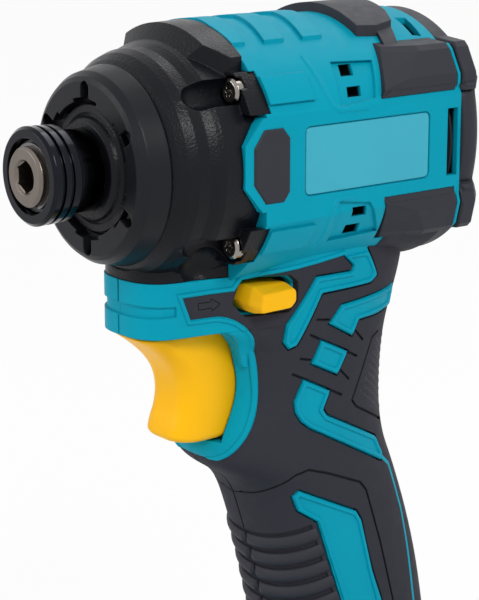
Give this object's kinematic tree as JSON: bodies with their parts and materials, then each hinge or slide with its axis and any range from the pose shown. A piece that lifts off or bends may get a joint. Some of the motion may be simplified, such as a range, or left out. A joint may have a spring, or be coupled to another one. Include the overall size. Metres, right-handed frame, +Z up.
{
  "type": "cordless impact driver",
  "caption": "Compact cordless impact driver: barrel with hammer mechanism and motor, hex quick-change chuck, trigger grip and slide-on battery.",
  "frame": {"origin": "middle of the battery pack's flat underside", "axes": "+Z up, the nose and chuck point to -Y, +X is the side seen in the picture"},
  "size_m": [0.074, 0.141, 0.2327],
  "materials": {
    "shell_teal": "satin moulded plastic",
    "rubber_black": "fine-textured overmould",
    "case_black": "black pebbled coat",
    "cap_black": "moulded plastic",
    "control_yellow": "moulded plastic",
    "sleeve_black": "gloss black oxide",
    "steel": "machined",
    "screw_steel": "blackened",
    "spring_steel": "drawn wire",
    "bronze": "sintered",
    "gear_steel": "hardened",
    "lamination": "stacked sheet",
    "copper": "enamelled wire",
    "magnet": "nickel plated",
    "board_green": "solder mask",
    "switch_black": "moulded plastic",
    "battery_black": "moulded plastic",
    "cell_wrap": "shrink wrap over a steel can",
    "nickel": "strip",
    "fan_plastic": "moulded plastic"
  },
  "bodies": {
    "housing": {"housing_left": "shell_teal", "housing_right": "shell_teal", "grip_left": "rubber_black", "grip_right": "rubber_black", "bumper_left": "rubber_black", "bumper_right": "rubber_black", "side_pads": "rubber_black", "rear_cap": "cap_black", "housing_screws": "screw_steel", "hammer_case": "case_black", "nose_bumper": "rubber_black", "case_screws": "screw_steel", "anvil_bushing": "bronze", "thrust_washer": "steel", "ring_gear": "gear_steel", "gearbox_plate": "cap_black", "spindle_bearing": "steel", "front_bearing": "steel", "rear_bearing": "steel", "stator": "lamination", "stator_coils": "copper", "sensor_board": "board_green", "switch_body": "switch_black", "control_board": "board_green", "terminal_block": "switch_black", "terminal_blades": "nickel"},
    "rotor": {"motor_shaft": "gear_steel", "rotor_core": "lamination", "rotor_magnets": "magnet", "cooling_fan": "fan_plastic"},
    "spindle": {"spindle": "gear_steel", "planet_pins": "steel", "cam_balls": "steel", "hammer_spring": "spring_steel"},
    "planet_1": {"planet_gear_1": "gear_steel"},
    "planet_2": {"planet_gear_2": "gear_steel"},
    "planet_3": {"planet_gear_3": "gear_steel"},
    "hammer": {"hammer": "gear_steel"},
    "anvil": {"anvil": "steel", "detent_balls": "steel", "retaining_clip": "spring_steel", "sleeve_washer": "steel", "sleeve_spring": "spring_steel"},
    "sleeve": {"chuck_sleeve": "sleeve_black"},
    "trigger": {"trigger": "control_yellow", "switch_plunger": "switch_black"},
    "selector": {"selector": "control_yellow"},
    "battery": {"battery_tray": "battery_black", "battery_cover": "battery_black", "battery_screws": "screw_steel", "battery_cells": "cell_wrap", "cell_frames": "switch_black", "cell_links": "nickel", "battery_board": "board_green", "battery_contacts": "nickel", "latch_spring": "spring_steel"},
    "latch": {"battery_latch": "cap_black"}
  },
  "joints": [
    {"name": "spindle_spin", "type": "hinge", "parent": "housing", "child": "spindle", "pos_m": [0, -0.0237, 0.2], "axis": [0, 1, 0], "continuous": true},
    {"name": "rotor_spin", "type": "hinge", "parent": "housing", "child": "rotor", "pos_m": [0, -0.0237, 0.2], "axis": [0, 1, 0], "continuous": true},
    {"name": "planet_1_spin", "type": "hinge", "parent": "spindle", "child": "planet_1", "pos_m": [0, -0.0237, 0.212], "axis": [0, 1, 0], "continuous": true},
    {"name": "planet_2_spin", "type": "hinge", "parent": "spindle", "child": "planet_2", "pos_m": [0.01039, -0.0237, 0.194], "axis": [0, 1, 0], "continuous": true},
    {"name": "planet_3_spin", "type": "hinge", "parent": "spindle", "child": "planet_3", "pos_m": [-0.01039, -0.0237, 0.194], "axis": [0, 1, 0], "continuous": true},
    {"name": "anvil_spin", "type": "hinge", "parent": "housing", "child": "anvil", "pos_m": [0, -0.065, 0.2], "axis": [0, 1, 0], "continuous": true},
    {"name": "hammer_slide", "type": "slide", "parent": "spindle", "child": "hammer", "axis": [0, 1, 0], "range_m": [0, 0.005], "stiffness_N_per_m": 12000, "deforming": ["hammer_spring"]},
    {"name": "sleeve_slide", "type": "slide", "parent": "anvil", "child": "sleeve", "axis": [0, -1, 0], "range_m": [0, 0.004], "stiffness_N_per_m": 1500, "deforming": ["sleeve_spring"]},
    {"name": "trigger_slide", "type": "slide", "parent": "housing", "child": "trigger", "axis": [0, 1, 0], "range_m": [0, 0.006], "stiffness_N_per_m": 1200},
    {"name": "selector_slide", "type": "slide", "parent": "housing", "child": "selector", "axis": [1, 0, 0], "range_m": [-0.003, 0.003]},
    {"name": "battery_slide", "type": "slide", "parent": "housing", "child": "battery", "axis": [0, -1, 0], "range_m": [0, 0.11]},
    {"name": "latch_slide", "type": "slide", "parent": "battery", "child": "latch", "axis": [0, 0, -1], "range_m": [0, 0.003], "stiffness_N_per_m": 1200, "deforming": ["latch_spring"]}
  ],
  "couplings": [
    {"joint": "rotor_spin", "follows": "spindle_spin", "ratio": 6.6667},
    {"joint": "planet_1_spin", "follows": "spindle_spin", "ratio": -2.4286},
    {"joint": "planet_2_spin", "follows": "spindle_spin", "ratio": -2.4286},
    {"joint": "planet_3_spin", "follows": "spindle_spin", "ratio": -2.4286},
    {"joint": "anvil_spin", "follows": "spindle_spin", "ratio": 1}
  ]
}
